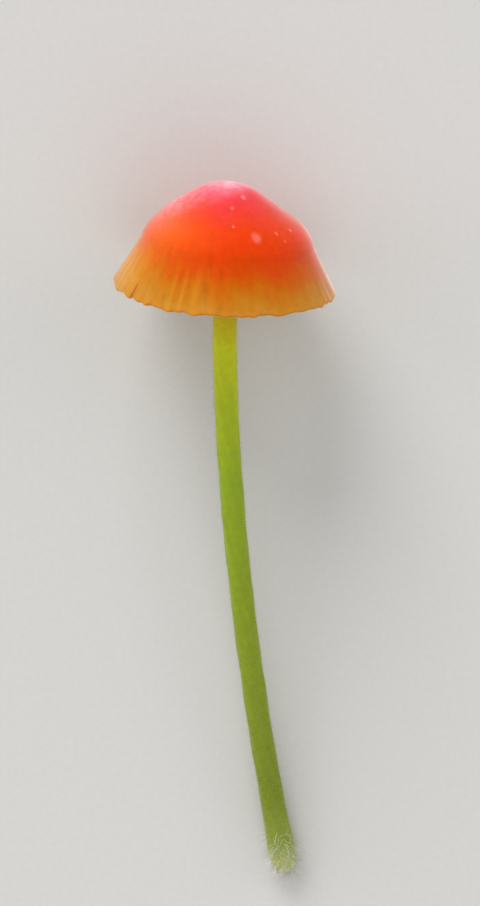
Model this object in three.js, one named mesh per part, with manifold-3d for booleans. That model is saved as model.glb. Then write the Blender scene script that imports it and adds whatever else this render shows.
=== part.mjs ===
// An orange bonnet mushroom, picked and lying on its side on a flat surface.
// Millimetres, +Z up. The mushroom grows along +Y in a group of its own, and that group
// leans until the rim of the cap and the foot of the stem both lie on the plane Z = 0.
import * as THREE from "three";
import { mergeVertices } from "three/addons/utils/BufferGeometryUtils.js";
import Module from "manifold-3d";

const wasm = await Module();
wasm.setup();

// Driving dimensions
const CAP_RADIUS = 5;
const CAP_HEIGHT = 4.81;
const RIM_HEIGHT = 27.85; // from the foot of the stem up to the plane of the rim
const STEM_RADIUS = 0.535;

// Cap: outline from apex to rim, as shares of its radius and height
const CAP_OUTLINE = [
  [0, 1],
  [0.09, 0.993],
  [0.23, 0.95],
  [0.44, 0.812],
  [0.62, 0.668],
  [0.724, 0.553],
  [0.764, 0.468],
  [0.856, 0.26],
  [0.926, 0.12],
  [0.985, -0.005],
];
const CAP_SEGMENTS = 96;
const CAP_RINGS = 13;
const FLESH_AT_RIM = 0.42;
const FLESH_AT_APEX = 1.0;
const LIP_RINGS = 4;

// Margin of the cap: fine ribs over the gills, a scalloped edge and a slow wave
const MARGIN_START = 0.6; // share of the radius where the ribs begin
const RIB_DEPTH = 0.045;
const SCALLOP_DEPTH = 0.09;
const WAVE_DEPTH = 0.09;
const WAVE_PHASE = 2.36;

// Gills: full ones reach the stem, and a short one stands between each two of them
const FULL_GILLS = 12;
const GILL_COUNT = 2 * FULL_GILLS;
const GILL_THICKNESS = 0.6;
const GILL_STEPS = 8;
const GILL_ROOT_DEPTH = 0.55; // share of the flesh that the roots reach into
const GILL_END = 0.94; // along the section, from 0 at the apex to 1 at the rim
const FULL_GILL_START = 0.25;
const FULL_GILL_BELLY = new THREE.Vector2(0.56 * CAP_RADIUS, 0.07 * CAP_HEIGHT);
const FULL_GILL_STEM_HEIGHT = 0.56 * CAP_HEIGHT;
const SHORT_GILL_START = 0.5;
const SHORT_GILL_BELLY = new THREE.Vector2(0.66 * CAP_RADIUS, 0.1 * CAP_HEIGHT);

// Stem: radius against height, as shares of its own radius and of the height of the rim
const STEM_OUTLINE = [
  [0, 0],
  [0.7, 0.003],
  [1.14, 0.016],
  [1.17, 0.034],
  [1.06, 0.1],
  [1, 0.2],
  [0.98, 0.5],
  [1, 0.9],
  [1.02, 1.08],
];
const STEM_SEGMENTS = 20;
const STEM_RINGS = 32;
const STEM_SWEEP = 2.83; // how far the foot stands to the side of the straight top
const STEM_BEND = 1.75; // how fast the sweep grows towards the foot
const STEM_STRAIGHT_BELOW_RIM = 2.4; // where the stem runs parallel to +Y

// Seat of the stem in the cap: a plain socket in the flesh, measured from the plane of the rim
const SEAT_GAP = 0.05;
const SOCKET_ROOF = 0.755 * CAP_HEIGHT;
const SOCKET_MOUTH = 0.65 * CAP_HEIGHT;
const SOCKET_RADIUS = STEM_RADIUS * STEM_OUTLINE.at(-1)[0] + SEAT_GAP;

// Rest: the soft rim is flattened on the side it lies on, and both contacts are pressed flat
const REST_SAG = 0.3;
const REST_PRESS = 0.12;
const FOOT_REST_HEIGHT = 0.03 * RIM_HEIGHT;
const FOOT_REST_RADIUS = 1.17 * STEM_RADIUS;

const CAP_COLOUR = 0xe8561f;
const STEM_COLOUR = 0xa3ab2c;

// Solids

function bare(geometry) {
  const positions = geometry.clone();
  positions.deleteAttribute("normal");
  positions.deleteAttribute("uv");
  return mergeVertices(positions, 1e-5);
}

// A closed geometry as a solid, without the empty triangles at a lathe's poles.
function solidOf(geometry) {
  const merged = bare(geometry);
  const corners = merged.index.array;
  const kept = [];
  for (let i = 0; i < corners.length; i += 3) {
    const [a, b, c] = corners.slice(i, i + 3);
    if (a !== b && b !== c && c !== a) kept.push(a, b, c);
  }
  const vertProperties = new Float32Array(merged.attributes.position.array);
  const triVerts = new Uint32Array(kept);
  return new wasm.Manifold(new wasm.Mesh({ numProp: 3, vertProperties, triVerts }));
}

function geometryOf(solid) {
  const mesh = solid.getMesh();
  const geometry = new THREE.BufferGeometry();
  geometry.setAttribute("position", new THREE.BufferAttribute(mesh.vertProperties, 3));
  geometry.setIndex(new THREE.BufferAttribute(mesh.triVerts, 1));
  geometry.computeVertexNormals();
  return geometry;
}

function meshOf(name, solid, colour, roughness) {
  const material = new THREE.MeshStandardMaterial({ color: colour, roughness, metalness: 0 });
  const mesh = new THREE.Mesh(geometryOf(solid), material);
  mesh.name = name;
  return mesh;
}

// Moves every vertex of a geometry by a function of its place.
function reshape(geometry, move) {
  const positions = geometry.attributes.position;
  const point = new THREE.Vector3();
  for (let i = 0; i < positions.count; i++) {
    move(point.fromBufferAttribute(positions, i));
    positions.setXYZ(i, point.x, point.y, point.z);
  }
  return geometry;
}

// Presses what reaches through a plane flat against it.
function pressFlat(geometry, plane) {
  return reshape(geometry, (point) => {
    const depth = -plane.distanceToPoint(point);
    if (depth > 0) point.addScaledVector(plane.normal, depth);
  });
}

// Stem

const straightHeight = RIM_HEIGHT - STEM_STRAIGHT_BELOW_RIM;

function stemOffset(height) {
  const share = Math.abs(straightHeight - height) / straightHeight;
  return STEM_SWEEP * share ** STEM_BEND;
}

function stemSlope(height) {
  const share = Math.abs(straightHeight - height) / straightHeight;
  const steepness = (STEM_SWEEP * STEM_BEND * share ** (STEM_BEND - 1)) / straightHeight;
  return Math.sign(height - straightHeight) * steepness;
}

// Bends a straight stem so that its rings stay square to its centre line.
function bendStem(point) {
  const slope = stemSlope(point.y);
  const stretch = Math.hypot(1, slope);
  const side = point.x;
  point.x = stemOffset(point.y) + side / stretch;
  point.y -= (side * slope) / stretch;
}

function stemGeometry(topHeight) {
  const points = STEM_OUTLINE.map(
    ([radius, height]) => new THREE.Vector2(radius * STEM_RADIUS, height * RIM_HEIGHT),
  );
  const outline = new THREE.SplineCurve(points).getPoints(STEM_RINGS);
  const side = outline.filter((point) => point.y < topHeight - SEAT_GAP);
  const topRadius = side.at(-1).x;
  const profile = [...side, new THREE.Vector2(topRadius, topHeight), new THREE.Vector2(0, topHeight)];
  return reshape(new THREE.LatheGeometry(profile, STEM_SEGMENTS), bendStem);
}

// Cap

const outerCurve = new THREE.SplineCurve(
  CAP_OUTLINE.map(([radius, height]) => new THREE.Vector2(radius * CAP_RADIUS, height * CAP_HEIGHT)),
);

// A point of the cap's section: share 0 is the apex and 1 the rim, and depth 0 is the outside
// of the flesh and 1 its underside.
function sectionPoint(share, depth) {
  const tangent = outerCurve.getTangent(share);
  const inward = new THREE.Vector2(tangent.y, -tangent.x);
  const flesh = THREE.MathUtils.lerp(FLESH_AT_APEX, FLESH_AT_RIM, THREE.MathUtils.smoothstep(share, 0, 0.8));
  const point = outerCurve.getPoint(share).addScaledVector(inward, flesh * depth);
  point.x = Math.max(point.x, 0);
  return point;
}

function capProfile() {
  const outside = [];
  const underside = [];
  for (let ring = 0; ring <= CAP_RINGS; ring++) {
    const share = ring / CAP_RINGS;
    outside.push(sectionPoint(share, 0));
    underside.push(sectionPoint(share, 1));
  }
  // A round lip joins the outside to the underside.
  const lip = [];
  const centre = sectionPoint(1, 0.5);
  const start = outside.at(-1).clone().sub(centre);
  for (let ring = 1; ring < LIP_RINGS; ring++) {
    lip.push(start.clone().rotateAround(new THREE.Vector2(), (-Math.PI * ring) / LIP_RINGS).add(centre));
  }
  const roof = underside.filter((point) => point.x > 2 * SOCKET_RADIUS);
  const socket = [
    new THREE.Vector2(0, SOCKET_ROOF),
    new THREE.Vector2(SOCKET_RADIUS, SOCKET_ROOF),
    new THREE.Vector2(SOCKET_RADIUS, SOCKET_MOUTH),
  ];
  return [...socket, ...roof, ...lip.reverse(), ...outside.reverse()];
}

// Ribs, scallops and a slow wave of the margin, and the side of the rim that lies flattened.
function shapeMargin(point) {
  const radius = Math.hypot(point.x, point.z);
  if (radius === 0) return;
  const share = (radius / CAP_RADIUS - MARGIN_START) / (1 - MARGIN_START);
  const weight = THREE.MathUtils.clamp(share, 0, 1) ** 2;
  const angle = Math.atan2(point.x, -point.z);
  const rib = Math.cos(GILL_COUNT * angle);
  const sagAngle = Math.acos(1 - REST_SAG / CAP_RADIUS);
  const chord = Math.abs(angle) < sagAngle ? Math.cos(sagAngle) / Math.cos(angle) : 1;
  const scale = THREE.MathUtils.lerp(1, chord, weight) + (RIB_DEPTH * rib * weight) / radius;
  point.x *= scale;
  point.z *= scale;
  point.y += SCALLOP_DEPTH * (1 - rib) * 0.5 * weight ** 2;
  point.y += WAVE_DEPTH * Math.cos(2 * angle + WAVE_PHASE) * weight;
}

// One gill as a blade: its root lies inside the flesh, and its free edge bellies down from the
// margin. A full gill ends in two points beside the stem, and a short one runs out into the flesh.
function gillGeometry(start, belly, stemEnd) {
  const root = [];
  for (let step = 0; step <= GILL_STEPS; step++) {
    root.push(sectionPoint(THREE.MathUtils.lerp(start, GILL_END, step / GILL_STEPS), GILL_ROOT_DEPTH));
  }
  const edge = new THREE.QuadraticBezierCurve(root.at(-1), belly, stemEnd[0] ?? root[0]);
  const freeEdge = edge.getPoints(GILL_STEPS).slice(1, -1);
  const shape = new THREE.Shape([...root, ...freeEdge, ...stemEnd]);
  const blade = new THREE.ExtrudeGeometry(shape, { depth: GILL_THICKNESS, bevelEnabled: false });
  return blade.translate(0, 0, -GILL_THICKNESS / 2);
}

function fullGillGeometry() {
  const rootHeight = sectionPoint(FULL_GILL_START, GILL_ROOT_DEPTH).y;
  const stemEnd = [
    new THREE.Vector2(SOCKET_RADIUS, FULL_GILL_STEM_HEIGHT),
    new THREE.Vector2(SOCKET_RADIUS, rootHeight),
  ];
  return gillGeometry(FULL_GILL_START, FULL_GILL_BELLY, stemEnd);
}

function capSolid(ground) {
  let cap = solidOf(reshape(new THREE.LatheGeometry(capProfile(), CAP_SEGMENTS), shapeMargin));
  for (let gill = 0; gill < GILL_COUNT; gill++) {
    const full = gill % 2 === 0;
    const blade = full ? fullGillGeometry() : gillGeometry(SHORT_GILL_START, SHORT_GILL_BELLY, []);
    blade.rotateY((gill / GILL_COUNT) * 2 * Math.PI);
    cap = cap.add(solidOf(reshape(blade, shapeMargin)));
  }
  return solidOf(pressFlat(geometryOf(cap), ground));
}

// Growing mushroom, with its foot at the origin

const topHeight = RIM_HEIGHT + SOCKET_ROOF - SEAT_GAP;
const capTilt = Math.atan(stemSlope(topHeight));

// The ground in the growing frame: a plane under the flattened rim and under the foot.
const rimRest = new THREE.Vector3(0, RIM_HEIGHT, -(CAP_RADIUS - REST_SAG - REST_PRESS));
const footRest = new THREE.Vector3(0, FOOT_REST_HEIGHT, -(FOOT_REST_RADIUS - REST_PRESS));
const lean = Math.atan2(footRest.z - rimRest.z, rimRest.y - footRest.y);
const groundNormal = new THREE.Vector3(0, Math.sin(lean), Math.cos(lean));
const ground = new THREE.Plane().setFromNormalAndCoplanarPoint(groundNormal, rimRest);

const capPlace = new THREE.Group();
capPlace.position.set(stemOffset(topHeight), topHeight, 0);
capPlace.rotation.z = -capTilt;
capPlace.updateMatrix();

// The cap is modelled from the plane of its rim, which lies below the top of the stem.
const capFrame = new THREE.Group();
capFrame.position.y = SEAT_GAP - SOCKET_ROOF;
capFrame.updateMatrix();
capPlace.add(capFrame);

const capToGrowing = capPlace.matrix.clone().multiply(capFrame.matrix);
const groundUnderCap = ground.clone().applyMatrix4(capToGrowing.invert());
capFrame.add(meshOf("cap_with_gills", capSolid(groundUnderCap), CAP_COLOUR, 0.45));

const stemSolid = solidOf(pressFlat(stemGeometry(topHeight), ground));
const growing = new THREE.Group();
growing.add(capPlace, meshOf("stem", stemSolid, STEM_COLOUR, 0.6));

// Lying mushroom: the ground becomes Z = 0, with the origin under the middle of the whole

const mushroom = new THREE.Group();
mushroom.name = "orange_bonnet_mushroom";
mushroom.add(growing);
growing.rotation.x = lean;
mushroom.updateMatrixWorld(true);
const box = new THREE.Box3().setFromObject(mushroom, true);
const middle = box.getCenter(new THREE.Vector3());
growing.position.set(-middle.x, -middle.y, -box.min.z);

export default mushroom;
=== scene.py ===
"""An orange bonnet mushroom, picked and lying on its side on a pale floor.

Every piece is made in the growing frame, where the stem runs up +Y from its foot at the origin. It is
then laid down in the same way as the solids of the frame lie, with the side that the camera sees up.

Angles round the cap start at the side that lies on the floor: a quarter turn is the right of the view,
half a turn faces the camera, and three quarters are the left. Places along the cap are shares of the way
down its outline, from the apex to the rim.
"""

import math

import bmesh
import bpy
import numpy as np
from mathutils import Matrix, Vector


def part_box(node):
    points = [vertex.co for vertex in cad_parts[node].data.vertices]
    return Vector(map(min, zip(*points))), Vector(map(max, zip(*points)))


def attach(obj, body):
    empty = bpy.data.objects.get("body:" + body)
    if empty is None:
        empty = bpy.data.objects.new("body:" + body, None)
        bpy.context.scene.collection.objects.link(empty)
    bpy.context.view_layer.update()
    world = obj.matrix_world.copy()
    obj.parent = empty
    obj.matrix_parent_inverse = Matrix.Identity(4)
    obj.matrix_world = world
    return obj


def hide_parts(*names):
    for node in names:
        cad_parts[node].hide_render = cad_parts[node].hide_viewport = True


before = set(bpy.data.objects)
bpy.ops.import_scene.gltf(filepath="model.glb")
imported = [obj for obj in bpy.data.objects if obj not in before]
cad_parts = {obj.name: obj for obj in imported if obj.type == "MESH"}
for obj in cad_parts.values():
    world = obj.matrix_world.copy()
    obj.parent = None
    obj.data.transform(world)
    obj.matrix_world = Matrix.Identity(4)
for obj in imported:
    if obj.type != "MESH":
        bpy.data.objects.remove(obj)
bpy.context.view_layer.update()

MM = 0.001
FULL_TURN = 2 * math.pi

# Sizes of the growing mushroom
CAP_RADIUS = 5 * MM
CAP_HEIGHT = 4.81 * MM
RIM_HEIGHT = 27.85 * MM
STEM_RADIUS = 0.535 * MM

# Cap: outline from apex to rim, as shares of its radius and height
CAP_OUTLINE = (
    (0, 1),
    (0.09, 0.993),
    (0.23, 0.95),
    (0.44, 0.812),
    (0.6, 0.69),
    (0.7, 0.586),
    (0.757, 0.492),
    (0.791, 0.4),
    (0.87, 0.243),
    (0.998, -0.007),
)
OUTLINE_SAMPLES = 600
APEX_SHIFT = 0.15 * MM  # towards the left of the view
APEX_SHIFT_RISE = (0.6, 0.78)  # shares of the cap's height where it begins and is whole
FLESH_AT_APEX = 1.0 * MM
FLESH_AT_RIM = 0.18 * MM
FLESH_THINNED_AT = 0.8  # place along the cap where it is as thin as at the rim
TANGENT_STEP = 0.01  # along the cap, to each side of a point
CAP_COLUMNS = 576
OUTSIDE_RINGS = 100
LIP_RINGS = 8
LIP_TURN = 0.35  # share of the lip's turn where the underside's colour begins
UNDERSIDE_RINGS = 30
UNDERSIDE_END = 0.1  # place along the cap, inside the stem

# Margin of the cap: depth of each form, and the power by which it rises towards the rim
MARGIN_START = 0.6  # share of the radius
MARGIN_RISE = 2
RIB_DEPTH = 0.018 * MM
RIB_RISE = 1.8
FINE_RIB_DEPTH = 0.01 * MM
FINE_RIB_UNEVEN = 0.7
FINE_RIB_SHIFT = 1.1  # radians out of step with an even count
SCALLOP_DEPTH = 0.06 * MM
SCALLOP_RISE = 2
FINE_SCALLOP_DEPTH = 0.036 * MM
FINE_SCALLOP_RISE = 3
WAVE_COUNT = 2
WAVE_DEPTH = 0.09 * MM
WAVE_PHASE = 2.36
UNEVEN_DEPTH = 0.05 * MM
UNEVEN_RISE = 2
SPLIT_ANGLE = math.radians(235.8)
SPLIT_WIDTH = math.radians(0.8)
SPLIT_DEPTH = 0.2 * MM
SPLIT_RISE = 6
CALM_LOSS = 0.8  # share of the ribs' and rays' strength that is lost on the right
CALM_EDGE = (-0.1, 0.6)  # sines of the angles where the calm side begins and is whole

# Uneven waves round the cap: their orders and the seed of their draw
FINE_SHIFT_WAVE = ((5, 7, 11, 16), 21)
FINE_RIB_WAVE = ((4, 6, 9, 13, 19), 22)
RIM_WAVE = ((3, 5, 8, 13, 17), 23)
WARMTH_WAVE = ((2, 3, 5, 7, 9), 32)
LINE_WAVE = ((4, 7, 10, 15), 33)
PLEAT_WAVE = ((3, 6, 8, 14), 34)
BREAK_WAVE = ((11, 17, 23, 29), 35)

# Rays of the cap's colour, one for each fine rib
RAY_SEED = 31
RAY_STRAY = 0.25  # share of the distance between two rays
RAY_WIDTH = (1.4, 3.2)  # degrees
RAY_STRENGTH = (0.1, 1)
RAY_MEAN = 0.5  # strength that leaves the colours in their place
RAY_REACH = 0.07  # along the cap
RAY_START = (0.45, 0.8)  # places along the cap where the rays begin and reach furthest

# Painted shade in dark lines in the grooves between the fine ribs, and painted highlights in pale pleats
# on the
# ribs: each starts at a height of the rib's wave, and rises between two places along the cap
LINE_STRENGTH = 0.13
LINE_UNEVEN = 0.8
LINE_EDGE = -0.2
LINE_START = (0.5, 0.75)
LINE_BREAKS = 30  # radians along the whole cap
LINE_BREAK_SHIFT = 5  # radians from one line to another
# Painted shade in the split of the margin
SPLIT_DARKNESS = 0.7
SPLIT_START = (0.89, 0.95)
# Painted highlights on the fine ribs
PLEAT_STRENGTH = 0.1
PLEAT_UNEVEN = 0.7
PLEAT_EDGE = -0.1
PLEAT_START = (0.66, 0.9)

# Warmth: how far the margin's colours climb along the cap, and sines of the angles where a side begins
# and is whole
WARMTH_UNEVEN = 0.014
WARMTH_LEAN = 0.03  # more on the left, and as much less on the right
WARMTH_LEFT = 0.05
WARMTH_LEFT_EDGE = (0.3, 1)
WARMTH_RIGHT = 0.035
WARMTH_RIGHT_EDGE = (0.1, 0.6)

# Pale marks, partly spots on the skin and partly small painted glints: angle in degrees, place along the
# cap, half width, half length, strength
SKIN_MARKS = (
    (158, 0.52, 0.31 * MM, 0.4 * MM, 0.2),
    (150, 0.2, 0.17 * MM, 0.2 * MM, 0.3),
    (173, 0.29, 0.12 * MM, 0.15 * MM, 0.25),
    (174.4, 0.44, 0.08 * MM, 0.1 * MM, 0.35),
    (138, 0.5, 0.12 * MM, 0.15 * MM, 0.25),
    (134, 0.56, 0.08 * MM, 0.1 * MM, 0.25),
    (120, 0.5, 0.07 * MM, 0.1 * MM, 0.7),
)
MARK_EDGE = 0.25  # share of a mark's size where it begins to fade

# Soft patches on the skin, of painted light and of bloom with a painted sheen: angle and half angle in
# degrees, place and half length along it, strength
# Painted light: a brighter orange on the left flank, where the light falls on it
CLEAR_PATCH = (234, 32, 0.56, 0.18, 0.55)
# Painted light: the left margin paler and creamier, where the light falls on it
CREAM_PATCH = (262, 24, 0.82, 0.14, 0.35)
# Pale bloom on the left and right flanks, partly real bloom and partly a painted sheen
BLOOM_PATCHES = ((268, 32, 0.4, 0.15, 1.0), (72, 30, 0.3, 0.2, 1.1))

# Pale bloom round the apex, partly real bloom and partly a painted sheen: how far down the cap it
# reaches on average, and how much further on two sides
BLOOM_EXTENT = 0.38
BLOOM_MORE_UNDER = 0.11
BLOOM_MORE_LEFT = 0.17
BLOOM_FADE = 0.15  # share of its extent where it begins to fade

# Gills: full ones reach the stem, with shorter ones between them
FULL_GILLS = 12
RIBS = 2 * FULL_GILLS
FINE_RIBS = 2 * RIBS
GILL_ROOT_DEPTH = 0.7  # share of the flesh
GILL_END = 0.95  # place along the cap
FULL_GILL_START = 0.2
FULL_GILL_BELLY = (0.56 * CAP_RADIUS, 0.07 * CAP_HEIGHT)
FULL_GILL_STEM_END = (0.9 * STEM_RADIUS, 0.56 * CAP_HEIGHT)
FULL_GILL_PULL = 3  # power by which the root leaves the flesh for the stem
HALF_GILL_START = 0.38
HALF_GILL_BELLY = (0.64 * CAP_RADIUS, 0.07 * CAP_HEIGHT)
SHORT_GILL_START = 0.6
SHORT_GILL_BELLY = (0.79 * CAP_RADIUS, 0.07 * CAP_HEIGHT)
GILL_ROOT_THICKNESS = 0.2 * MM
GILL_EDGE_THICKNESS = 0.07 * MM
GILL_WAVE = 0.035 * MM
GILL_WAVE_TURN = (3, 6)  # radians along a gill
GILL_WAVE_START = (0, 6)  # radians
GILL_WAVE_RISE = 1.5  # power by which the wave rises towards the free edge
GILL_ROWS = 36
GILL_STEPS = 7
FIRST_GILL_SEED = 100

# Stem: radius against height, as shares of its own radius and of the height of the rim
FOOT_BULGE = 1.17
STEM_OUTLINE = (
    (0, 0),
    (0.5, 0.0025),
    (0.87, 0.009),
    (1.09, 0.021),
    (FOOT_BULGE, 0.038),
    (1.06, 0.1),
    (1, 0.2),
    (0.98, 0.5),
    (1, 0.9),
    (1.02, 1.08),
)
STEM_SWEEP = 2.83 * MM
STEM_BEND = 1.75
STEM_STRAIGHT_BELOW_RIM = 2.4 * MM
STEM_COLUMNS = 72
STEM_ROWS = 260
STEM_SAMPLES = 400
STEM_UNEVEN = 0.012 * MM
STEM_EVEN_FOOT = 3 * MM  # height by which the unevenness is whole
STEM_WAVES = ((2, 1, (2, 3, 5), 11), (3, -2, (1, 3, 4), 12))  # turns along, turns round, orders, seed

# Seat of the stem in the cap, measured from the plane of the rim
SEAT_GAP = 0.05 * MM
SOCKET_ROOF = 0.755 * CAP_HEIGHT

# Rest of the rim and the foot on the floor
REST_SAG = 0.3 * MM
REST_PRESS = 0.12 * MM
SQUEEZE_HEIGHT = 0.08 * MM
FOOT_REST_HEIGHT = 0.03 * RIM_HEIGHT
FOOT_REST_RADIUS = FOOT_BULGE * STEM_RADIUS

# Hairs in general: sides, and how upright a hair is when its sides need another helper direction
HAIR_SIDES = 3
HAIR_UPRIGHT = 0.9

# Down on the stem
DOWN_COUNT = 10500
DOWN_HEIGHTS = (0.04 * RIM_HEIGHT, 1.02 * RIM_HEIGHT)
DOWN_LENGTH = (0.03 * MM, 0.09 * MM)
DOWN_RADIUS = 0.0032 * MM
DOWN_WIDTHS = (1, 0.75, 1.7)  # at its root, at its middle and at its club-shaped tip
DOWN_LEAN = 0.3
DOWN_SINK = 0.01 * MM
DOWN_SEED = 41

# Hairs at the foot
FOOT_HAIRS = 420
FOOT_HAIR_LOWEST = 0.002 * RIM_HEIGHT
FOOT_HAIR_SPREAD = 0.075 * RIM_HEIGHT
FOOT_HAIR_CROWDING = 1.8  # power by which they stand closer towards the end of the foot
FOOT_HAIR_LENGTH = (0.25 * MM, 0.8 * MM)
FOOT_HAIR_RADIUS = 0.008 * MM
FOOT_HAIR_TIP = 0.25  # share of the radius that is left at the tip
FOOT_HAIR_ROWS = 6
FOOT_HAIR_LEAN = 0.5
FOOT_HAIR_CURL = 0.6
FOOT_HAIR_SINK = 0.02 * MM
FOOT_HAIR_DROOP = 0.5  # how far they point away from the cap
FOOT_END_DROOP = 1.5  # how much further at the very end
FOOT_END_HEIGHT = 0.01 * RIM_HEIGHT
FOOT_HAIR_SEED = 42

# Colours of the cap's skin along the cap, whose pale pink apex is partly bloom and partly a painted
# sheen, then of the painted light, shade and highlights, the spots and glints, and the bloom on it
CAP_COLOURS = (
    (0.0, (0.80, 0.38, 0.50)),
    (0.12, (0.77, 0.10, 0.135)),
    (0.23, (0.78, 0.045, 0.055)),
    (0.36, (0.76, 0.045, 0.021)),
    (0.48, (0.75, 0.048, 0.003)),
    (0.62, (0.76, 0.050, 0.001)),
    (0.74, (0.65, 0.066, 0.001)),
    (0.82, (0.58, 0.112, 0.001)),
    (0.90, (0.53, 0.172, 0.006)),
    (0.97, (0.51, 0.212, 0.014)),
    (1.0, (0.53, 0.235, 0.024)),
)
UNDERSIDE_COLOURS = (
    (0.2, (0.90, 0.42, 0.06)),
    (0.9, (0.88, 0.50, 0.13)),
    (1.0, (0.90, 0.62, 0.28)),
)
# Painted light on the left flank
CLEAR_COLOUR = (0.93, 0.16, 0.008)
# Painted light on the left margin
CREAM_COLOUR = (0.92, 0.38, 0.04)
# Painted highlights on the fine ribs
PLEAT_COLOUR = (0.82, 0.40, 0.03)
# Painted shade in the grooves and in the split
GROOVE_COLOUR = (0.30, 0.03, 0.002)
# Pale spots on the skin and painted glints
MARK_COLOUR = (0.95, 0.50, 0.42)
# Pale pink of the bloom, which is partly a painted sheen
BLOOM_COLOUR = (0.86, 0.57, 0.74)

# Colours of the gills from root to free edge, of the stem from foot to top, of the hairs and the floor
GILL_COLOURS = (
    (0.0, (0.92, 0.42, 0.05)),
    (0.6, (0.93, 0.61, 0.17)),
    (1.0, (0.95, 0.80, 0.44)),
)
STEM_COLOURS = (
    (0.0, (0.60, 0.58, 0.36)),
    (0.012, (0.50, 0.52, 0.22)),
    (0.05, (0.28, 0.34, 0.045)),
    (0.12, (0.21, 0.265, 0.016)),
    (0.44, (0.275, 0.365, 0.012)),
    (0.60, (0.305, 0.425, 0.012)),
    (0.71, (0.44, 0.53, 0.010)),
    (0.80, (0.60, 0.64, 0.006)),
    (0.83, (0.63, 0.55, 0.003)),
    (0.875, (0.70, 0.47, 0.002)),
)
DOWN_COLOUR = (0.52, 0.57, 0.22)
FOOT_HAIR_COLOUR = (0.88, 0.87, 0.80)
FLOOR_COLOURS = (
    (0.3, (0.66, 0.65, 0.63)),
    (0.7, (0.68, 0.67, 0.65)),
)

# Grain sizes of the textures
MOTTLE_SIZE = 0.9 * MM
GRAIN_SIZE = 0.32 * MM
PIT_SIZE = 0.24 * MM
POWDER_SIZE = 0.3 * MM
CAP_BUMP_SIZE = 0.09 * MM
CAP_GLOSS_SIZE = 0.35 * MM
GILL_BUMP_SIZE = 0.08 * MM
FIBRE_SIZE = 0.07 * MM
FIBRE_STRETCH = (1, 0.08, 1)
STEM_MARK_SIZE = 0.3 * MM
HAIR_TINT_SIZE = 0.4 * MM
FLOOR_GRAIN_SIZE = 0.25 * MM
NOISE_SPREAD = (0.3, 0.7)  # where most values of a noise texture lie

# Photograph: its frame, the scale at the mushroom, and where the middle of the rim's plane shows
PHOTO_WIDTH = 480
PHOTO_HEIGHT = 906
PIXEL = MM / 22.3
PHOTO_RIM_CENTRE = (224.5, 287)
VIEW_ABOVE_RIM = math.radians(15.5)
LENS = 200
SENSOR = 36
CAMERA_NEAR = 10 * MM

# Stage: half width of the floor, strength of the light all round, and for each soft light the direction
# that it comes from, its strength and its spread in degrees
FLOOR_HALF = 600 * MM
WORLD_STRENGTH = 0.53
LIGHTS = (
    ("back_light", (-0.35, 1.0, 0.5), 2.0, 38),
    ("left_light", (-1.0, 0.25, 0.4), 0.55, 45),
    ("right_light", (1.0, 0.35, 0.45), 0.4, 45),
    ("foot_light", (0.2, -0.75, 1.0), 0.34, 45),
)


# Curves and fields

def smoothstep(value, low=0.0, high=1.0):
    """A soft rise from 0 at the low value to 1 at the high one."""
    share = np.clip((value - low) / (high - low), 0, 1)
    return share * share * (3 - 2 * share)


def wrapped(angle):
    """An angle brought to within half a turn of zero."""
    return (angle + math.pi) % FULL_TURN - math.pi


def unit(vectors):
    """Vectors, one to a row, at unit length."""
    return vectors / np.linalg.norm(vectors, axis=-1, keepdims=True)


def spline(points, shares):
    """Points at shares of the way along a Catmull-Rom curve through the given points."""
    points = np.asarray(points, float)
    place = np.clip(shares, 0, 1) * (len(points) - 1)
    start = np.minimum(place.astype(int), len(points) - 2)
    step = (place - start)[:, None]
    here = points[start]
    there = points[start + 1]
    slope_here = (there - points[np.maximum(start - 1, 0)]) / 2
    slope_there = (points[np.minimum(start + 2, len(points) - 1)] - here) / 2
    cubic = 2 * here - 2 * there + slope_here + slope_there
    square = 3 * there - 3 * here - 2 * slope_here - slope_there
    return ((cubic * step + square) * step + slope_here) * step + here


def bezier(start, control, end, shares):
    """Points along a quadratic Bezier curve."""
    share = shares[:, None]
    rest = 1 - share
    from_start = rest * rest * np.array(start)
    from_control = 2 * rest * share * np.array(control)
    from_end = share * share * np.array(end)
    return from_start + from_control + from_end


def ripple(angle, orders, seed):
    """An uneven wave round a circle, of about unit size, from a seeded draw."""
    draw = np.random.default_rng(seed)
    total = np.zeros_like(angle)
    for order in orders:
        total += draw.normal() * np.cos(order * angle + draw.uniform(0, FULL_TURN))
    return total / math.sqrt(len(orders))


# Meshes

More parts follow.
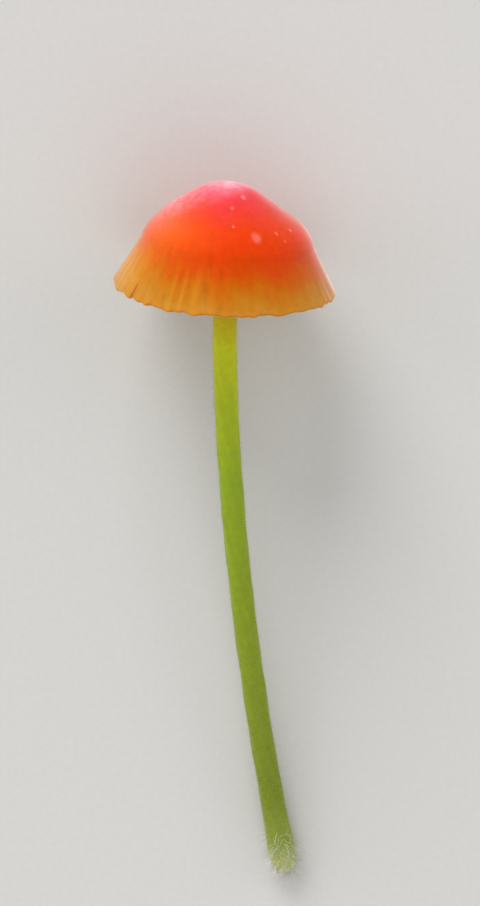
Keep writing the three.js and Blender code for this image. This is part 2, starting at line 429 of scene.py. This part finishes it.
class Surface:
    """Closed tubes gathered into one mesh, with numbers kept for each vertex."""

    def __init__(self):
        self.points = []
        self.faces = []
        self.values = {}
        self.count = 0

    def tube(self, rings, start, end, **values):
        """Adds rings of points, (ring, column, 3), closed by a point at each end."""
        rows, columns = rings.shape[:2]
        self.points += [rings.reshape(-1, 3), np.array([start, end])]
        base = self.count
        index = base + np.arange(rows * columns).reshape(rows, columns)
        beside = np.roll(index, -1, axis=1)
        quads = np.stack([index[:-1], beside[:-1], beside[1:], index[1:]], axis=-1).reshape(-1, 4)
        first = base + rows * columns
        self.faces += quads.tolist()
        self.faces += [[first, b, a] for a, b in zip(index[0].tolist(), beside[0].tolist())]
        self.faces += [[first + 1, a, b] for a, b in zip(index[-1].tolist(), beside[-1].tolist())]
        self.count += rows * columns + 2
        for name, grid in values.items():
            grid = np.broadcast_to(grid, (rows, columns))
            ends = [grid[0].mean(), grid[-1].mean()]
            self.values.setdefault(name, []).append(np.concatenate([grid.ravel(), ends]))

    def object(self, name):
        """Makes the smooth object, with its faces turned out and its numbers as attributes."""
        mesh = bpy.data.meshes.new(name)
        mesh.from_pydata(np.concatenate(self.points).tolist(), [], self.faces)
        for value, parts in self.values.items():
            attribute = mesh.attributes.new(value, "FLOAT", "POINT")
            attribute.data.foreach_set("value", np.concatenate(parts).astype(np.float32))
        shaped = bmesh.new()
        shaped.from_mesh(mesh)
        bmesh.ops.recalc_face_normals(shaped, faces=shaped.faces)
        shaped.to_mesh(mesh)
        shaped.free()
        mesh.shade_smooth()
        piece = bpy.data.objects.new(name, mesh)
        bpy.context.scene.collection.objects.link(piece)
        return piece


# Stem in the growing frame

STRAIGHT_HEIGHT = RIM_HEIGHT - STEM_STRAIGHT_BELOW_RIM
TOP_HEIGHT = RIM_HEIGHT + SOCKET_ROOF - SEAT_GAP


def bend_share(height):
    """How far a height is from where the stem stands straight, as a share of that height."""
    return np.abs(STRAIGHT_HEIGHT - height) / STRAIGHT_HEIGHT


def stem_offset(height):
    """How far the bent centre line lies to the side."""
    return STEM_SWEEP * bend_share(height) ** STEM_BEND


def stem_slope(height):
    """How fast the centre line goes to the side as it rises."""
    steepness = STEM_SWEEP * STEM_BEND * bend_share(height) ** (STEM_BEND - 1) / STRAIGHT_HEIGHT
    return np.sign(height - STRAIGHT_HEIGHT) * steepness


def stem_points(radius, height, angle):
    """Points round the bent stem, whose rings stay square to its centre line."""
    side = radius * np.cos(angle)
    slope = stem_slope(height)
    stretch = np.hypot(1, slope)
    return np.stack(
        [stem_offset(height) + side / stretch, height - side * slope / stretch, radius * np.sin(angle)],
        axis=-1,
    )


def stem_outline(shares):
    """Radius and height of the stem at shares of the way along its outline."""
    return spline(STEM_OUTLINE, shares) * (STEM_RADIUS, RIM_HEIGHT)


def stem_rings():
    """Rings of the stem from the foot to the top, and their shares of its height."""
    outline = stem_outline(np.linspace(0, 1, STEM_ROWS + 1)[1:])
    outline = np.append(outline, [(outline[-1, 0], TOP_HEIGHT)], axis=0)
    angle = np.linspace(0, FULL_TURN, STEM_COLUMNS, endpoint=False)[None, :]
    radius = outline[:, :1]
    height = outline[:, 1:]
    rise = FULL_TURN * height / RIM_HEIGHT
    uneven = sum(
        ripple(turns_along * rise + turns_round * angle, orders, seed)
        for turns_along, turns_round, orders, seed in STEM_WAVES
    )
    radius = radius + STEM_UNEVEN * uneven * smoothstep(height, 0, STEM_EVEN_FOOT)
    return stem_points(radius, np.broadcast_to(height, radius.shape), angle), height / TOP_HEIGHT


# Laying the mushroom down

RIM_REST_DEPTH = CAP_RADIUS - REST_SAG - REST_PRESS
FOOT_REST_DEPTH = FOOT_REST_RADIUS - REST_PRESS
LEAN = math.atan2(RIM_REST_DEPTH - FOOT_REST_DEPTH, RIM_HEIGHT - FOOT_REST_HEIGHT)


def lying_matrix(stem):
    """The growing frame in the row's frame: leant over on to the floor, with the stem in its box."""
    turn = Matrix.Rotation(LEAN, 4, "X")
    leant = stem.reshape(-1, 3) @ np.array(turn.to_3x3()).T
    low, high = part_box("stem")
    shift = (low + high) / 2 - Vector((leant.min(0) + leant.max(0)) / 2)
    shift.z = RIM_REST_DEPTH * math.cos(LEAN) - RIM_HEIGHT * math.sin(LEAN)
    return Matrix.Translation(shift) @ turn


STEM_RINGS, STEM_ALONG = stem_rings()
LYING = lying_matrix(STEM_RINGS)
CAP_TILT = math.atan(stem_slope(TOP_HEIGHT))
CAP_PLACE = (
    LYING
    @ Matrix.Translation((stem_offset(TOP_HEIGHT), TOP_HEIGHT, 0))
    @ Matrix.Rotation(-CAP_TILT, 4, "Z")
    @ Matrix.Translation((0, SEAT_GAP - SOCKET_ROOF, 0))
)


def placed(points, matrix):
    """Points in the row's frame, where what comes close to the floor is squeezed softly on to it."""
    matrix = np.array(matrix)
    moved = points @ matrix[:3, :3].T + matrix[:3, 3]
    height = moved[..., 2]
    squeezed = SQUEEZE_HEIGHT * np.exp(np.minimum(height / SQUEEZE_HEIGHT - 1, 0))
    moved[..., 2] = np.maximum(height, squeezed)
    return moved


# Shape of the cap

OUTLINE_POINTS = spline(CAP_OUTLINE, np.linspace(0, 1, OUTLINE_SAMPLES)) * (CAP_RADIUS, CAP_HEIGHT)
OUTLINE_STEPS = np.linalg.norm(np.diff(OUTLINE_POINTS, axis=0), axis=1)
OUTLINE_LENGTH = OUTLINE_STEPS.sum()
OUTLINE_SHARES = np.append(0, np.cumsum(OUTLINE_STEPS)) / OUTLINE_LENGTH


def cap_outline(shares):
    """Radius and height of the outside at places along the cap."""
    radius, height = OUTLINE_POINTS.T
    return np.stack(
        [np.interp(shares, OUTLINE_SHARES, radius), np.interp(shares, OUTLINE_SHARES, height)],
        axis=1,
    )


def section(shares, depth):
    """Radius and height at places along the cap, from depth 0 outside to depth 1 at the underside."""
    outer = cap_outline(shares)
    tangent = unit(cap_outline(shares + TANGENT_STEP) - cap_outline(shares - TANGENT_STEP))
    inward = np.stack([tangent[:, 1], -tangent[:, 0]], axis=1)
    thinning = smoothstep(shares, 0, FLESH_THINNED_AT)
    flesh = FLESH_AT_APEX + (FLESH_AT_RIM - FLESH_AT_APEX) * thinning
    point = outer + inward * (flesh * depth)[:, None]
    point[:, 0] = np.maximum(point[:, 0], 0)
    return point


def fine_rib(angle):
    """The wave of the fine ribs, which are a little out of step, from -1 in a groove to 1 on a rib."""
    return np.cos(FINE_RIBS * angle + FINE_RIB_SHIFT * ripple(angle, *FINE_SHIFT_WAVE))


def ray_strength(angle):
    """How clearly the ribs and rays show: whole on the left, and less on the right."""
    return 1 - CALM_LOSS * smoothstep(np.sin(angle), *CALM_EDGE)


def split_share(angle):
    """How much of the split in the margin lies at an angle round the cap."""
    return np.exp(-(((angle - SPLIT_ANGLE) / SPLIT_WIDTH) ** 2))


def rest_chord(angle):
    """Radius of the rim with the flat side that it lies on, as a share of the round one."""
    turned = wrapped(angle)
    sag_angle = math.acos(1 - REST_SAG / CAP_RADIUS)
    return np.where(np.abs(turned) < sag_angle, math.cos(sag_angle) / np.cos(turned), 1)


def margin_shaped(radius, height, angle):
    """Points of the cap with its ribs, scallops, waves, split and flat side, in the cap's frame."""
    share = np.clip((radius / CAP_RADIUS - MARGIN_START) / (1 - MARGIN_START), 0, 1)
    weight = share ** MARGIN_RISE
    rib = np.cos(RIBS * angle)
    fine = fine_rib(angle)
    strength = 1 + FINE_RIB_UNEVEN * ripple(angle, *FINE_RIB_WAVE)
    relief = RIB_DEPTH * rib + FINE_RIB_DEPTH * fine * strength
    radius = radius * (1 + (rest_chord(angle) - 1) * weight)
    radius = radius + relief * weight ** RIB_RISE * ray_strength(angle)
    height = height + SCALLOP_DEPTH * (1 - rib) / 2 * weight ** SCALLOP_RISE
    height = height + FINE_SCALLOP_DEPTH * strength * (1 - fine) / 2 * weight ** FINE_SCALLOP_RISE
    height = height + WAVE_DEPTH * np.cos(WAVE_COUNT * angle + WAVE_PHASE) * weight
    height = height + UNEVEN_DEPTH * ripple(angle, *RIM_WAVE) * weight ** UNEVEN_RISE
    height = height + SPLIT_DEPTH * split_share(angle) * weight ** SPLIT_RISE
    aside = -APEX_SHIFT * smoothstep(height / CAP_HEIGHT, *APEX_SHIFT_RISE)
    return np.stack([radius * np.sin(angle) + aside, height, -radius * np.cos(angle)], axis=-1)


def lip_rings(turns):
    """The round edge from the outside of the rim to the underside, at shares of its half turn."""
    rim = np.ones(1)
    centre = section(rim, rim / 2)[0]
    start = section(rim, 0 * rim)[0] - centre
    across = np.array([start[1], -start[0]])
    cosine = np.cos(math.pi * turns)[:, None]
    sine = np.sin(math.pi * turns)[:, None]
    return centre + start * cosine + across * sine


# Colour fields of the cap

def streaks(angle):
    """How far the skin's colour reaches towards the rim at each angle, in uneven narrow rays."""
    draw = np.random.default_rng(RAY_SEED)
    total = np.zeros_like(angle)
    for ray in range(FINE_RIBS):
        middle = (ray + draw.uniform(-RAY_STRAY, RAY_STRAY)) * FULL_TURN / FINE_RIBS
        width = math.radians(draw.uniform(*RAY_WIDTH))
        total += draw.uniform(*RAY_STRENGTH) * np.exp(-((wrapped(angle - middle) / width) ** 2))
    return RAY_MEAN + (total - RAY_MEAN) * ray_strength(angle)


def dark_lines(along, angle):
    """Painted shade: fine broken dark lines in the grooves between the fine ribs, and a darker line in
    the split.
    """
    strength = LINE_STRENGTH * (1 + LINE_UNEVEN * ripple(angle, *LINE_WAVE)) * ray_strength(angle)
    breaks = np.cos(LINE_BREAKS * along + LINE_BREAK_SHIFT * ripple(angle, *BREAK_WAVE))
    groove = smoothstep(-fine_rib(angle), LINE_EDGE, 1)
    lines = strength * (1 + breaks) / 2 * groove * smoothstep(along, *LINE_START)
    split = SPLIT_DARKNESS * split_share(angle) * smoothstep(along, *SPLIT_START)
    return np.clip(lines + split, 0, 1)


def pale_pleats(along, angle):
    """Painted highlights: paler amber on the fine ribs, towards the rim."""
    strength = PLEAT_STRENGTH * (1 + PLEAT_UNEVEN * ripple(angle, *PLEAT_WAVE)) * ray_strength(angle)
    ridge = smoothstep(fine_rib(angle), PLEAT_EDGE, 1)
    return np.clip(strength * ridge * smoothstep(along, *PLEAT_START), 0, 1)


def soft_patch(along, angle, patch):
    """How strong a patch without an edge is at places of the skin."""
    middle, half_angle, place, half_length, strength = patch
    across = (angle - math.radians(middle)) / math.radians(half_angle)
    lengthwise = (along - place) / half_length
    return strength * np.exp(-across ** 2 - lengthwise ** 2)


def bloom_share(along, angle):
    """How thick the pale bloom and its painted sheen lie: all over the apex, furthest down on the left,
    and in patches.
    """
    extent = BLOOM_EXTENT + BLOOM_MORE_UNDER * np.cos(angle) - BLOOM_MORE_LEFT * np.sin(angle)
    patches = sum(soft_patch(along, angle, patch) for patch in BLOOM_PATCHES)
    return 1 - smoothstep(along / extent, BLOOM_FADE, 1) + patches


def warmth(angle):
    """How far the orange of the margin climbs up the cap, most of all on the left."""
    right = np.sin(angle)
    on_left = WARMTH_LEFT * smoothstep(-right, *WARMTH_LEFT_EDGE)
    on_right = WARMTH_RIGHT * smoothstep(right, *WARMTH_RIGHT_EDGE)
    return WARMTH_UNEVEN * ripple(angle, *WARMTH_WAVE) - WARMTH_LEAN * right + on_left + on_right


def pale_marks(radius, along, angle):
    """Pale oval marks with soft edges, partly spots on the skin and partly painted glints."""
    total = np.zeros(np.broadcast(along, angle).shape)
    for mark_angle, mark_along, half_width, half_length, strength in SKIN_MARKS:
        across = (angle - math.radians(mark_angle)) * radius / half_width
        lengthwise = (along - mark_along) * OUTLINE_LENGTH / half_length
        fade = smoothstep(np.hypot(across, lengthwise), MARK_EDGE, 1)
        total = np.maximum(total, strength * (1 - fade))
    return total


def make_cap():
    """The flesh of the cap: its outside, the round lip of its rim and its underside."""
    outside = np.linspace(0, 1, OUTSIDE_RINGS + 1)[1:]
    lip = np.linspace(0, 1, LIP_RINGS + 2)[1:-1]
    underside = np.linspace(1, UNDERSIDE_END, UNDERSIDE_RINGS)
    profile = np.concatenate([
        section(outside, np.zeros_like(outside)),
        lip_rings(lip),
        section(underside, np.ones_like(underside)),
    ])
    along = np.concatenate([outside, np.ones_like(lip), underside])[:, None]
    turned_under = smoothstep(lip, LIP_TURN, 1)
    under = np.concatenate([np.zeros_like(outside), turned_under, np.ones_like(underside)])[:, None]
    angle = np.linspace(0, FULL_TURN, CAP_COLUMNS, endpoint=False)[None, :]
    points = margin_shaped(profile[:, :1], profile[:, 1:], angle)
    ends = margin_shaped(np.zeros(2), np.array([CAP_HEIGHT, profile[-1, 1]]), np.zeros(2))
    apex, inside = placed(ends, CAP_PLACE)
    surface = Surface()
    surface.tube(
        placed(points, CAP_PLACE),
        apex,
        inside,
        along=along,
        under=under,
        streak=streaks(angle),
        warm=warmth(angle),
        # Painted light on the left flank
        clear=soft_patch(along, angle, CLEAR_PATCH),
        # Painted light on the left margin
        cream=soft_patch(along, angle, CREAM_PATCH),
        # Bloom, partly real and partly a painted sheen
        bloom=bloom_share(along, angle),
        # Painted shade in the grooves and in the split
        dark=dark_lines(along, angle),
        # Painted highlights on the fine ribs
        pleat=pale_pleats(along, angle),
        # Pale spots on the skin and painted glints
        mark=pale_marks(profile[:, :1], along, angle),
    )
    return surface.object("cap_flesh")


# Gills

def gill_points(angle, start, belly, stem_end, seed):
    """One gill as rings across its blade, from the margin inwards, and the share of its depth."""
    draw = np.random.default_rng(seed)
    shares = np.linspace(0, 1, GILL_ROWS)
    root = section(GILL_END + (start - GILL_END) * shares, np.full(GILL_ROWS, GILL_ROOT_DEPTH))
    inner = root[-1]
    if stem_end is not None:
        inner = np.array(stem_end)
        root[:, 0] += (inner[0] - root[-1, 0]) * shares ** FULL_GILL_PULL
    edge = bezier(root[0], belly, inner, shares)
    depth = np.linspace(0, 1, GILL_STEPS)
    loop = np.concatenate([depth, depth[::-1]])
    side = np.concatenate([np.ones(GILL_STEPS), -np.ones(GILL_STEPS)])
    half = (GILL_ROOT_THICKNESS + (GILL_EDGE_THICKNESS - GILL_ROOT_THICKNESS) * loop) / 2
    blade = root[:, None] + (edge - root)[:, None] * loop[None, :, None]
    turns = shares * draw.uniform(*GILL_WAVE_TURN) + draw.uniform(*GILL_WAVE_START)
    wave = GILL_WAVE * np.sin(turns)[:, None] * loop[None, :] ** GILL_WAVE_RISE
    across = side * half + wave
    sine = math.sin(angle)
    cosine = math.cos(angle)
    radius = blade[..., 0]
    height = blade[..., 1]
    right = radius * sine + across * cosine
    front = -radius * cosine + across * sine
    turned = np.arctan2(right, -front) % FULL_TURN
    shaped = margin_shaped(np.hypot(right, front), height, turned)
    return shaped, np.broadcast_to(loop, radius.shape)


def make_gills():
    """All the gills: a full one, then a short, a half and a short one, over and over round the cap."""
    full = (FULL_GILL_START, FULL_GILL_BELLY, FULL_GILL_STEM_END)
    half = (HALF_GILL_START, HALF_GILL_BELLY, None)
    short = (SHORT_GILL_START, SHORT_GILL_BELLY, None)
    order = (full, short, half, short)
    surface = Surface()
    for gill in range(FINE_RIBS):
        shape = order[gill % len(order)]
        angle = gill * FULL_TURN / FINE_RIBS
        points, depth = gill_points(angle, *shape, seed=FIRST_GILL_SEED + gill)
        points = placed(points, CAP_PLACE)
        surface.tube(points, points[0].mean(0), points[-1].mean(0), depth=depth)
    return surface.object("gill_blades")


# Stem and its hairs

def make_stem():
    """The flesh of the stem, from its round foot to its top in the socket of the cap."""
    ends = np.array([[0, 0, 0], [stem_offset(TOP_HEIGHT), TOP_HEIGHT, 0]])
    foot, top = placed(ends, LYING)
    surface = Surface()
    surface.tube(placed(STEM_RINGS, LYING), foot, top, along=STEM_ALONG)
    return surface.object("stem_flesh")


def stem_frame(height, angle):
    """Points on the stem's skin and the directions out of it and up along it, in the growing frame."""
    outline = stem_outline(np.linspace(0, 1, STEM_SAMPLES))
    radius = np.interp(height, outline[:, 1], outline[:, 0])
    skin = stem_points(radius, height, angle)
    out = unit(skin - stem_points(np.zeros_like(radius), height, angle))
    slope = stem_slope(height)
    up = unit(np.stack([slope, np.ones_like(slope), np.zeros_like(slope)], axis=1))
    return skin, out, up


def hair_rings(points, radii):
    """Rings along a hair, square to its first step."""
    run = unit(points[1] - points[0])
    helper = np.array([0, 0, 1.0]) if abs(run[2]) < HAIR_UPRIGHT else np.array([1.0, 0, 0])
    side = unit(np.cross(run, helper))
    other = np.cross(run, side)
    turns = np.arange(HAIR_SIDES) * FULL_TURN / HAIR_SIDES
    circle = np.cos(turns)[:, None] * side + np.sin(turns)[:, None] * other
    return points[:, None] + radii[:, None, None] * circle[None]


def make_down():
    """Short club-shaped down all over the stem, but none where the floor presses it flat."""
    draw = np.random.default_rng(DOWN_SEED)
    height = draw.uniform(*DOWN_HEIGHTS, DOWN_COUNT)
    angle = draw.uniform(0, FULL_TURN, DOWN_COUNT)
    length = draw.uniform(*DOWN_LENGTH, DOWN_COUNT)
    skin, out, _ = stem_frame(height, angle)
    lean = draw.normal(0, DOWN_LEAN, (DOWN_COUNT, 3))
    tips = skin + (out + lean) * length[:, None]
    roots = skin - out * DOWN_SINK
    radii = DOWN_RADIUS * np.array(DOWN_WIDTHS)
    surface = Surface()
    for root, tip in zip(placed(roots, LYING), placed(tips, LYING)):
        if tip[2] > DOWN_RADIUS:
            points = np.linspace(root, tip, len(DOWN_WIDTHS))
            surface.tube(hair_rings(points, radii), root, tip)
    return surface.object("stem_down")


def make_foot_hairs():
    """Longer pale hairs at the foot, which point out and away from the cap."""
    draw = np.random.default_rng(FOOT_HAIR_SEED)
    crowded = draw.uniform(0, 1, FOOT_HAIRS) ** FOOT_HAIR_CROWDING
    height = FOOT_HAIR_LOWEST + FOOT_HAIR_SPREAD * crowded
    droop = FOOT_HAIR_DROOP + FOOT_END_DROOP * np.exp(-height / FOOT_END_HEIGHT)
    angle = draw.uniform(0, FULL_TURN, FOOT_HAIRS)
    length = draw.uniform(*FOOT_HAIR_LENGTH, FOOT_HAIRS)
    skin, out, up = stem_frame(height, angle)
    roots = skin - out * FOOT_HAIR_SINK
    steps = np.linspace(0, 1, FOOT_HAIR_ROWS)[:, None]
    radii = np.linspace(FOOT_HAIR_RADIUS, FOOT_HAIR_TIP * FOOT_HAIR_RADIUS, FOOT_HAIR_ROWS)
    surface = Surface()
    for place in range(FOOT_HAIRS):
        heading = unit(out[place] + draw.normal(0, FOOT_HAIR_LEAN, 3) - droop[place] * up[place])
        curl = draw.normal(0, FOOT_HAIR_CURL, 3)
        path = heading * steps + curl * steps ** 2 / 2
        points = placed(roots[place] + length[place] * path, LYING)
        points[:, 2] = np.maximum(points[:, 2], FOOT_HAIR_RADIUS)
        surface.tube(hair_rings(points, radii), points[0], points[-1])
    return surface.object("foot_hairs")


# Materials

class Nodes:
    """A short way to add and join the nodes of one material."""

    MIX_SHARE = 0
    MIX_FIRST_COLOUR = 6
    MIX_SECOND_COLOUR = 7
    MIX_COLOUR_RESULT = 2

    def __init__(self, name):
        self.material = bpy.data.materials.new(name)
        self.material.use_nodes = True
        self.tree = self.material.node_tree
        self.tree.nodes.clear()

    def add(self, kind, inputs=None, **settings):
        """Adds a node with its settings, and joins each input to a socket or sets its value."""
        made = self.tree.nodes.new(kind)
        for name, value in settings.items():
            setattr(made, name, value)
        for name, value in (inputs or {}).items():
            if isinstance(value, bpy.types.NodeSocket):
                self.tree.links.new(value, made.inputs[name])
            else:
                made.inputs[name].default_value = value
        return made

    def attribute(self, name):
        return self.add("ShaderNodeAttribute", attribute_name=name).outputs["Fac"]

    def position(self):
        return self.add("ShaderNodeTexCoord").outputs["Object"]

    def math(self, operation, first, second):
        return self.add("ShaderNodeMath", {0: first, 1: second}, operation=operation).outputs[0]

    def scaled(self, colour, factor):
        made = self.add("ShaderNodeVectorMath", {0: colour, "Scale": factor}, operation="SCALE")
        return made.outputs[0]

    def noise(self, size, detail, place=None):
        inputs = {"Vector": place or self.position(), "Scale": 1 / size, "Detail": detail}
        return self.add("ShaderNodeTexNoise", inputs).outputs["Fac"]

    def pits(self, size):
        """Distance from the middle of the nearest of many scattered pits."""
        inputs = {"Vector": self.position(), "Scale": 1 / size}
        return self.add("ShaderNodeTexVoronoi", inputs).outputs["Distance"]

    def range(self, value, low, high, to_low=0.0, to_high=1.0):
        made = self.add(
            "ShaderNodeMapRange",
            {"Value": value, "From Min": low, "From Max": high, "To Min": to_low, "To Max": to_high},
        )
        return made.outputs["Result"]

    def uneven(self, size, detail, to_low, to_high):
        """A noise that mostly covers the range between two values."""
        return self.range(self.noise(size, detail), *NOISE_SPREAD, to_low, to_high)

    def ramp(self, value, stops):
        made = self.add("ShaderNodeValToRGB", {"Fac": value})
        elements = made.color_ramp.elements
        while len(elements) < len(stops):
            elements.new(1)
        for element, (place, colour) in zip(elements, stops):
            element.position = place
            element.color = (*colour, 1)
        return made.outputs["Color"]

    def mix(self, share, first, second):
        """Mixes into one colour another, which is a socket or a plain colour."""
        if isinstance(second, tuple):
            second = (*second, 1)
        made = self.add(
            "ShaderNodeMix",
            {self.MIX_SHARE: share, self.MIX_FIRST_COLOUR: first, self.MIX_SECOND_COLOUR: second},
            data_type="RGBA",
        )
        return made.outputs[self.MIX_COLOUR_RESULT]

    def bump(self, height, distance, strength, normal=None):
        inputs = {"Height": height, "Distance": distance, "Strength": strength}
        if normal:
            inputs["Normal"] = normal
        return self.add("ShaderNodeBump", inputs).outputs["Normal"]

    def principled(self, **inputs):
        """Ends the material in a shader, with an underscore for each space in a socket's name."""
        sockets = {name.replace("_", " "): value for name, value in inputs.items()}
        shader = self.add("ShaderNodeBsdfPrincipled", sockets)
        output = self.add("ShaderNodeOutputMaterial", {"Surface": shader.outputs[0]})
        output.is_active_output = True
        return self.material


def cap_skin():
    """Red under a pale bloom with a painted sheen at the apex, orange below, with rays that run out into
    an amber margin.
    """
    nodes = Nodes("cap_skin")
    along = nodes.attribute("along")
    reach = nodes.math("SUBTRACT", nodes.attribute("streak"), RAY_MEAN)
    reach = nodes.math("MULTIPLY", reach, nodes.range(along, *RAY_START, to_high=RAY_REACH))
    mottle = nodes.uneven(MOTTLE_SIZE, detail=3, to_low=-0.025, to_high=0.025)
    place = nodes.math("SUBTRACT", along, nodes.math("ADD", reach, mottle))
    place = nodes.math("ADD", place, nodes.attribute("warm"))
    colour = nodes.ramp(place, CAP_COLOURS)
    # Painted light: brighter orange on the left flank
    colour = nodes.mix(nodes.attribute("clear"), colour, CLEAR_COLOUR)
    # Painted light: paler cream on the left margin
    colour = nodes.mix(nodes.attribute("cream"), colour, CREAM_COLOUR)
    # Painted highlights on the fine ribs
    colour = nodes.mix(nodes.attribute("pleat"), colour, PLEAT_COLOUR)
    # Painted shade in the grooves and in the split
    colour = nodes.mix(nodes.attribute("dark"), colour, GROOVE_COLOUR)
    colour = nodes.scaled(colour, nodes.uneven(GRAIN_SIZE, detail=4, to_low=0.94, to_high=1.04))
    # Pale spots on the skin and painted glints
    colour = nodes.mix(nodes.attribute("mark"), colour, MARK_COLOUR)
    pits = nodes.pits(PIT_SIZE)
    # Pale bloom mixed over the apex and flanks, partly a painted sheen
    powder = nodes.uneven(POWDER_SIZE, detail=6, to_low=0.1, to_high=0.36)
    powder = nodes.math("MULTIPLY", powder, nodes.range(pits, low=0.06, high=0.2, to_low=0.4))
    colour = nodes.mix(nodes.math("MULTIPLY", powder, nodes.attribute("bloom")), colour, BLOOM_COLOUR)
    colour = nodes.mix(nodes.attribute("under"), colour, nodes.ramp(along, UNDERSIDE_COLOURS))
    pitted = nodes.bump(nodes.range(pits, low=0.08, high=0.25), distance=0.005 * MM, strength=0.6)
    rough = nodes.noise(CAP_BUMP_SIZE, detail=3)
    normal = nodes.bump(rough, distance=0.006 * MM, strength=0.6, normal=pitted)
    return nodes.principled(
        Base_Color=colour,
        Roughness=nodes.uneven(CAP_GLOSS_SIZE, detail=2, to_low=0.38, to_high=0.52),
        Normal=normal,
        Specular_IOR_Level=0.02,
        Subsurface_Weight=0.5,
        Subsurface_Radius=(1.0, 0.3, 0.1),
        Subsurface_Scale=0.8 * MM,
        Sheen_Weight=1.0,
        Sheen_Roughness=0.33,
        Sheen_Tint=(1.0, 0.84, 0.78, 1),
    )


def gill_flesh():
    """Pale yellow blades that whiten towards their free edge."""
    nodes = Nodes("gill_flesh")
    return nodes.principled(
        Base_Color=nodes.ramp(nodes.attribute("depth"), GILL_COLOURS),
        Roughness=0.6,
        Normal=nodes.bump(nodes.noise(GILL_BUMP_SIZE, detail=3), distance=0.005 * MM, strength=0.5),
        Subsurface_Weight=0.4,
        Subsurface_Radius=(1.0, 0.6, 0.25),
        Subsurface_Scale=0.25 * MM,
    )


def stem_skin():
    """Yellow under the cap, then yellow-green, with fine fibres along it and faint marks."""
    nodes = Nodes("stem_skin")
    stretched = nodes.add(
        "ShaderNodeVectorMath",
        {0: nodes.position(), 1: FIBRE_STRETCH},
        operation="MULTIPLY",
    )
    fibres = nodes.noise(FIBRE_SIZE, detail=2, place=stretched.outputs[0])
    marks = nodes.noise(STEM_MARK_SIZE, detail=3)
    shade = nodes.range(marks, low=0.3, high=0.75, to_low=0.92, to_high=1.06)
    return nodes.principled(
        Base_Color=nodes.scaled(nodes.ramp(nodes.attribute("along"), STEM_COLOURS), shade),
        Roughness=0.5,
        Normal=nodes.bump(fibres, distance=0.006 * MM, strength=0.6),
        Specular_IOR_Level=0.2,
        Subsurface_Weight=0.5,
        Subsurface_Radius=(0.8, 1.0, 0.15),
        Subsurface_Scale=0.4 * MM,
        Sheen_Weight=0.3,
        Sheen_Roughness=0.3,
        Sheen_Tint=(0.90, 0.92, 0.55, 1),
    )


def pale_hair(name, colour):
    """Fine hairs that are a little uneven in colour."""
    nodes = Nodes(name)
    tint = nodes.uneven(HAIR_TINT_SIZE, detail=1, to_low=0.75, to_high=1.0)
    return nodes.principled(Base_Color=nodes.scaled(colour, tint), Roughness=0.6)


def floor_paint():
    """A plain pale surface with a hardly visible grain."""
    nodes = Nodes("floor_paint")
    shade = nodes.ramp(nodes.noise(FLOOR_GRAIN_SIZE, detail=2), FLOOR_COLOURS)
    return nodes.principled(Base_Color=shade, Roughness=0.9)


# Stage

def make_floor():
    """A wide level floor under the mushroom."""
    mesh = bpy.data.meshes.new("floor")
    corners = [(x * FLOOR_HALF, y * FLOOR_HALF, 0) for x, y in ((-1, -1), (1, -1), (1, 1), (-1, 1))]
    mesh.from_pydata(corners, [], [(0, 1, 2, 3)])
    floor = bpy.data.objects.new("floor", mesh)
    floor.data.materials.append(floor_paint())
    bpy.context.scene.collection.objects.link(floor)


def make_light(name, direction, strength, spread):
    """A soft light from far away, so that it falls on the floor evenly."""
    data = bpy.data.lights.new(name, "SUN")
    data.energy = strength
    data.angle = math.radians(spread)
    light = bpy.data.objects.new(name, data)
    light.rotation_mode = "QUATERNION"
    light.rotation_quaternion = Vector(direction).to_track_quat("Z", "Y")
    bpy.context.scene.collection.objects.link(light)


def make_world():
    """Even white light from all round."""
    world = bpy.data.worlds.new("studio")
    world.use_nodes = True
    background = world.node_tree.nodes["Background"]
    background.inputs["Color"].default_value = (1, 1, 1, 1)
    background.inputs["Strength"].default_value = WORLD_STRENGTH
    bpy.context.scene.world = world


def make_camera():
    """Looks down on the lying mushroom as the photograph looks at the growing one."""
    tilt = VIEW_ABOVE_RIM - LEAN
    back = Vector((0, math.sin(tilt), math.cos(tilt)))
    up = Vector((0, math.cos(tilt), -math.sin(tilt)))
    right = Vector((1, 0, 0))
    aside = (PHOTO_WIDTH / 2 - PHOTO_RIM_CENTRE[0]) * PIXEL
    below = (PHOTO_HEIGHT / 2 - PHOTO_RIM_CENTRE[1]) * PIXEL
    target = CAP_PLACE.to_translation() + right * aside - up * below
    distance = LENS / SENSOR * PHOTO_HEIGHT * PIXEL
    data = bpy.data.cameras.new("camera")
    data.lens = LENS
    data.sensor_width = SENSOR
    data.clip_start = CAMERA_NEAR
    camera = bpy.data.objects.new("camera", data)
    turn = Matrix((right, up, back)).transposed().to_4x4()
    camera.matrix_world = Matrix.Translation(target + back * distance) @ turn
    bpy.context.scene.collection.objects.link(camera)
    bpy.context.scene.camera = camera


def dress(piece, material, slot, *nodes):
    """Gives a piece its material, its body and the nodes that it stands for; the slot is not used."""
    piece.data.materials.append(material)
    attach(piece, "root")
    if nodes:
        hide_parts(*nodes)


make_camera()
dress(make_cap(), cap_skin(), "cap", "cap_with_gills")
dress(make_gills(), gill_flesh(), "cap", "cap_with_gills")
dress(make_stem(), stem_skin(), "stem", "stem")
dress(make_down(), pale_hair("down", DOWN_COLOUR), "stem")
dress(make_foot_hairs(), pale_hair("foot_hair", FOOT_HAIR_COLOUR), "stem")
make_floor()
make_world()
for light in LIGHTS:
    make_light(*light)
bpy.context.scene.view_settings.view_transform = "Standard"
